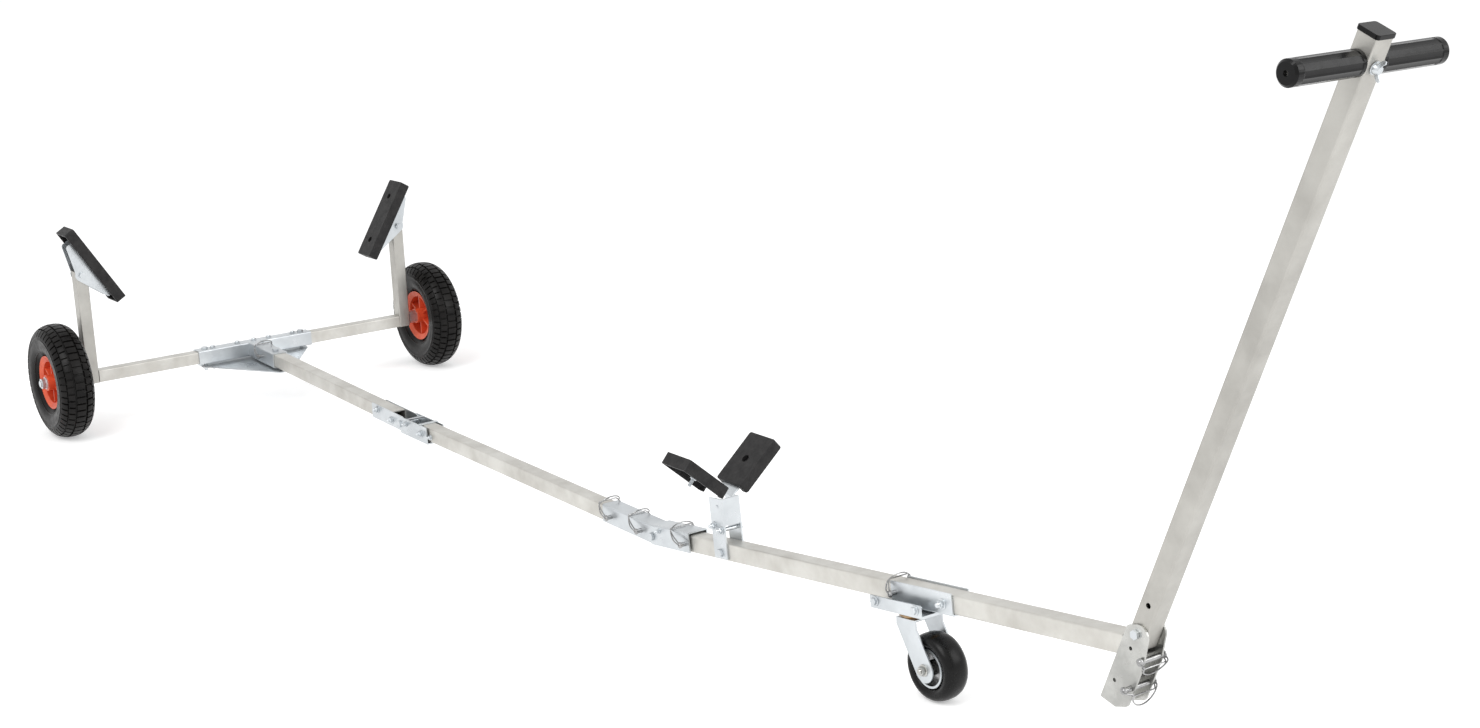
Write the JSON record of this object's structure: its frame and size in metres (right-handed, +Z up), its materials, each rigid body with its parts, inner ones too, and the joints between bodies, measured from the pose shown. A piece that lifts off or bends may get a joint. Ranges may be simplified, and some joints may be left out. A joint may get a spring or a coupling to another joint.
{
  "type": "boat launching trolley",
  "caption": "Folding galvanised launching trolley for a small boat: two air-filled wheels, tilting bunk pads, a jointed beam with keel support, swivel castor and folding pull handle",
  "frame": {"origin": "on the ground, at the middle of the length and width", "axes": "+X forward to the handle, +Y to the left wheel, +Z up"},
  "size_m": [3.4004, 1.0306, 1.0493],
  "materials": {
    "galvanised_tube": "satin",
    "zinc_plate": "satin",
    "steel_wire": "polished",
    "tyre_rubber": "matte",
    "pad_rubber": "matte",
    "rim_plastic": "satin",
    "grip_plastic": "matte",
    "bush_bronze": "satin"
  },
  "bodies": {
    "root": {"cross_tube": "galvanised_tube", "tee_sleeve": "zinc_plate", "gusset_plate": "zinc_plate", "tee_bolt_left": "zinc_plate", "tee_bolt_right": "zinc_plate", "tee_bolt_front": "zinc_plate", "tee_ring_pin": "steel_wire", "beam_rear": "galvanised_tube", "fold_a_rear_channel": "zinc_plate", "fold_a_pivot_bolt": "zinc_plate", "post_left": "galvanised_tube", "post_right": "galvanised_tube", "stub_axle_left": "zinc_plate", "stub_axle_right": "zinc_plate", "axle_nut_left": "zinc_plate", "axle_nut_right": "zinc_plate"},
    "wheel_left": {"tyre_left": "tyre_rubber", "rim_left": "rim_plastic", "hub_bush_left": "bush_bronze"},
    "wheel_right": {"tyre_right": "tyre_rubber", "rim_right": "rim_plastic", "hub_bush_right": "bush_bronze"},
    "bunk_left": {"bunk_pad_left": "pad_rubber", "bunk_bracket_left": "zinc_plate", "bunk_bolt_left": "zinc_plate"},
    "bunk_right": {"bunk_pad_right": "pad_rubber", "bunk_bracket_right": "zinc_plate", "bunk_bolt_right": "zinc_plate"},
    "middle_beam": {"beam_middle": "galvanised_tube", "fold_a_front_channel": "zinc_plate", "fold_b_rear_channel": "zinc_plate", "fold_b_pivot_bolt": "zinc_plate", "fold_b_ring_pin_1": "steel_wire", "fold_b_ring_pin_2": "steel_wire"},
    "front_beam": {"beam_front": "galvanised_tube", "fold_b_front_channel": "zinc_plate", "fold_b_ring_pin_3": "steel_wire", "keel_upright": "zinc_plate", "keel_bolt": "zinc_plate", "keel_vee": "zinc_plate", "keel_pad_left": "pad_rubber", "keel_pad_right": "pad_rubber", "castor_saddle": "zinc_plate", "castor_ring_pin": "steel_wire", "castor_plate": "zinc_plate", "handle_bracket": "zinc_plate", "handle_pivot_bolt": "zinc_plate", "handle_ring_pin_1": "steel_wire", "handle_ring_pin_2": "steel_wire"},
    "castor_fork": {"castor_raceway": "bush_bronze", "castor_fork": "zinc_plate", "castor_axle": "zinc_plate"},
    "castor_wheel": {"castor_tyre": "tyre_rubber", "castor_core": "steel_wire"},
    "handle": {"handle_tube": "galvanised_tube", "handle_cap": "grip_plastic", "grip_rod": "galvanised_tube", "grip_bolt": "zinc_plate", "grip_left": "grip_plastic", "grip_right": "grip_plastic"}
  },
  "joints": [
    {"name": "wheel_left_spin", "type": "hinge", "parent": "root", "child": "wheel_left", "pos_m": [-1.57024, 0.467, 0.13], "axis": [0, 1, 0], "continuous": true},
    {"name": "wheel_right_spin", "type": "hinge", "parent": "root", "child": "wheel_right", "pos_m": [-1.57024, -0.467, 0.13], "axis": [0, 1, 0], "continuous": true},
    {"name": "bunk_left_tilt", "type": "hinge", "parent": "root", "child": "bunk_left", "pos_m": [-1.57024, 0.397, 0.365], "axis": [1, 0, 0], "range_deg": [-18, 20]},
    {"name": "bunk_right_tilt", "type": "hinge", "parent": "root", "child": "bunk_right", "pos_m": [-1.57024, -0.397, 0.365], "axis": [1, 0, 0], "range_deg": [-20, 18]},
    {"name": "middle_beam_fold", "type": "hinge", "parent": "root", "child": "middle_beam", "pos_m": [-0.78024, 0, 0.0977], "axis": [0, -1, 0], "range_deg": [0, 90]},
    {"name": "front_beam_fold", "type": "hinge", "parent": "middle_beam", "child": "front_beam", "pos_m": [0.17076, 0, 0.0818], "axis": [0, 1, 0], "range_deg": [0, 90]},
    {"name": "castor_swivel", "type": "hinge", "parent": "front_beam", "child": "castor_fork", "pos_m": [0.86838, 0, 0.13267], "axis": [-0.109, 0, 0.994], "continuous": true},
    {"name": "castor_wheel_spin", "type": "hinge", "parent": "castor_fork", "child": "castor_wheel", "pos_m": [0.90876, 0, 0.053], "axis": [0, 1, 0], "continuous": true},
    {"name": "handle_fold", "type": "hinge", "parent": "front_beam", "child": "handle", "pos_m": [1.33494, 0, 0.22952], "axis": [0, -1, 0], "range_deg": [0, 90]}
  ]
}
